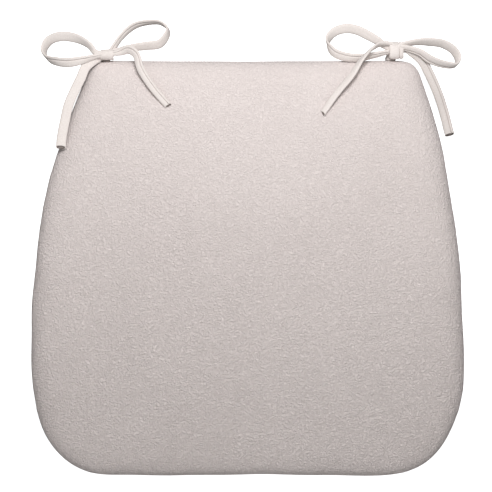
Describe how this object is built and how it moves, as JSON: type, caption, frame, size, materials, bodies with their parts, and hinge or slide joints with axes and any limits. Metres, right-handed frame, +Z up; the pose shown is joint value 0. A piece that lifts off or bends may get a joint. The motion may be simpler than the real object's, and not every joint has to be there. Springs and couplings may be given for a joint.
{
  "type": "chair seat pad",
  "caption": "Tie-on chair seat pad with a wide rounded front, a narrow straight rear edge, a zipped soft cover over a foam slab and tied fabric bows at the rear corners.",
  "frame": {"origin": "on the resting face, under the middle of the pad's box without its ties", "axes": "+Y towards the rear edge with the ties, +X to the right seen from above with the ties away from the viewer, +Z up through the thickness"},
  "size_m": [0.43, 0.4553, 0.0527],
  "materials": {
    "foam": "matte",
    "cover_cloth": "matte",
    "grip_cloth": "matte",
    "strap_cloth": "matte",
    "thread": "matte",
    "zip_tape": "matte",
    "zip_coil": "satin",
    "zip_metal": "satin"
  },
  "bodies": {
    "pad": {"foam_core": "foam", "top_panel": "cover_cloth", "side_band": "cover_cloth", "rear_strip_upper": "cover_cloth", "rear_strip_lower": "cover_cloth", "bottom_panel": "grip_cloth", "top_seam_thread": "thread", "bottom_seam_thread": "thread", "zip_tape_upper": "zip_tape", "zip_tape_lower": "zip_tape", "zip_coil_upper": "zip_coil", "zip_coil_lower": "zip_coil", "zip_closed_stop": "zip_coil", "zip_open_stop": "zip_coil", "tie_left_inner": "strap_cloth", "tie_left_outer": "strap_cloth", "tie_right_inner": "strap_cloth", "tie_right_outer": "strap_cloth", "tie_tack_left": "thread", "tie_tack_right": "thread"},
    "slider": {"zip_slider": "zip_metal"},
    "pull": {"zip_pull": "zip_metal"}
  },
  "joints": [
    {"name": "zip_slide", "type": "slide", "parent": "pad", "child": "slider", "axis": [-1, 0, 0], "range_m": [0, 0.2234]},
    {"name": "zip_pull_swing", "type": "hinge", "parent": "slider", "child": "pull", "pos_m": [0.1117, 0.20685, 0.0145], "axis": [0, 0, -1], "range_deg": [0, 175]}
  ]
}
